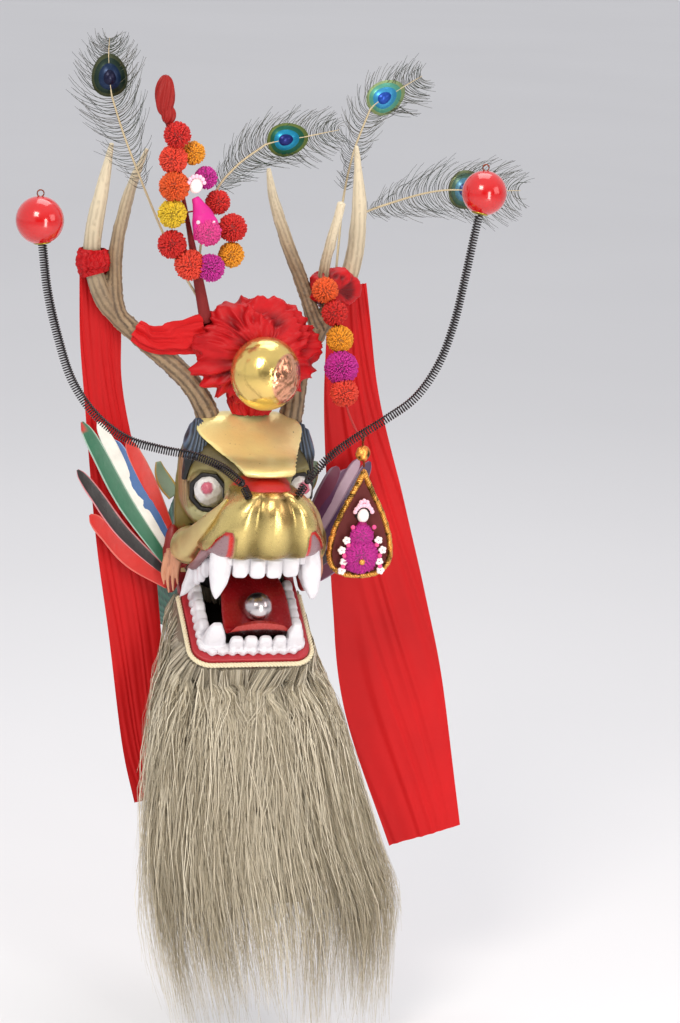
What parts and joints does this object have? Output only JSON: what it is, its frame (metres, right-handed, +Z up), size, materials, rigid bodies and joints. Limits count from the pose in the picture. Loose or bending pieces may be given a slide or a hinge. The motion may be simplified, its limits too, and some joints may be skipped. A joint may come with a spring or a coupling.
{
  "type": "dragon boat head",
  "caption": "Carved and gilded dragon head for the bow of a boat, with antlers, fins, spring feelers, hair beard, cloth sashes and swinging pendant.",
  "frame": {"origin": "middle of the flat butt of the neck, where it is pegged to the bow", "axes": "+Z up; the face looks along -Y and the butt faces +Y; +X is at the right of someone facing the head"},
  "size_m": [0.602, 0.346, 1.132],
  "materials": {
    "green_paint": "brushed enamel on carved wood, satin",
    "olive_paint": "olive-gold paint on carved wood, satin",
    "gold_leaf": "gold leaf on carved wood, burnished, worn at the edges",
    "polished_gold": "mirror-polished gold plate",
    "black_paint": "black gloss paint on carved wood",
    "blue_grey_paint": "blue-grey paint on carved wood",
    "white_paint": "white gloss paint on carved wood",
    "red_paint": "red gloss paint on carved wood",
    "tan_paint": "tan paint on carved wood",
    "pale_green_paint": "grey-green paint on carved wood",
    "silver": "polished silvered ball",
    "antler": "natural antler, ribbed and polished at the tips",
    "spring_steel": "dark oiled spring wire",
    "red_lacquer": "glossy red lacquer",
    "red_cloth": "crimson satin cotton",
    "yarn": "cut yarn, many bright colours",
    "doll_cloth": "bright satin and yarn",
    "finial_cloth": "red and green felt edged with gold thread",
    "backing_card": "dark red board",
    "tinsel": "gold braid over a wire frame",
    "feather": "peacock barbs, iridescent",
    "hair": "long coarse pale hair",
    "braid": "cream braided cord"
  },
  "bodies": {
    "head": {"neck": "green_paint", "skull": "olive_paint", "forehead_plate": "gold_leaf", "snout": "gold_leaf", "lower_jaw": "red_paint", "upper_teeth": "white_paint", "lower_teeth": "white_paint", "tongue": "red_paint", "tongue_pearl": "silver", "rosette": "red_cloth", "gold_globe": "polished_gold", "swag": "red_cloth", "beard": "hair", "beard_braid": "braid", "pompom_spray": "yarn", "spray_finial": "finial_cloth", "spray_doll": "doll_cloth", "pompom_string": "yarn", "eye_socket_left": "black_paint", "eyeball_left": "white_paint", "brow_left": "blue_grey_paint", "cheek_left": "gold_leaf", "cheek_tuft_left": "tan_paint", "lip_left": "red_paint", "fang_front_left": "white_paint", "fang_side_left": "white_paint", "ear_left": "pale_green_paint", "fin_fan_left": "red_paint", "antler_left": "antler", "feeler_socket_left": "black_paint", "antler_wrap_left": "red_cloth", "sash_left": "red_cloth", "eye_socket_right": "black_paint", "eyeball_right": "white_paint", "brow_right": "blue_grey_paint", "cheek_right": "gold_leaf", "cheek_tuft_right": "tan_paint", "lip_right": "red_paint", "fang_front_right": "white_paint", "fang_side_right": "white_paint", "ear_right": "pale_green_paint", "fin_fan_right": "red_paint", "antler_right": "antler", "feeler_socket_right": "black_paint", "antler_wrap_right": "red_cloth", "sash_right": "red_cloth", "feather_1": "feather", "feather_2": "feather", "feather_3": "feather", "feather_4": "feather"},
    "feeler_left": {"feeler_spring_left": "spring_steel", "feeler_ball_left": "red_lacquer"},
    "feeler_right": {"feeler_spring_right": "spring_steel", "feeler_ball_right": "red_lacquer"},
    "pendant": {"pendant_frame": "tinsel", "pendant_backing": "backing_card", "pendant_doll": "doll_cloth"}
  },
  "joints": [
    {"name": "feeler_left_nod", "type": "hinge", "parent": "head", "child": "feeler_left", "pos_m": [-0.03544, -0.33272, 0.19952], "axis": [1, 0, 0], "range_deg": [-12, 12], "stiffness_Nm_per_rad": 1.2},
    {"name": "feeler_right_nod", "type": "hinge", "parent": "head", "child": "feeler_right", "pos_m": [0.03593, -0.33247, 0.20186], "axis": [1, 0, 0], "range_deg": [-12, 12], "stiffness_Nm_per_rad": 1.2},
    {"name": "pendant_swing", "type": "hinge", "parent": "head", "child": "pendant", "pos_m": [0.112, -0.27, 0.238], "axis": [1, 0, 0], "range_deg": [-20, 3]}
  ]
}
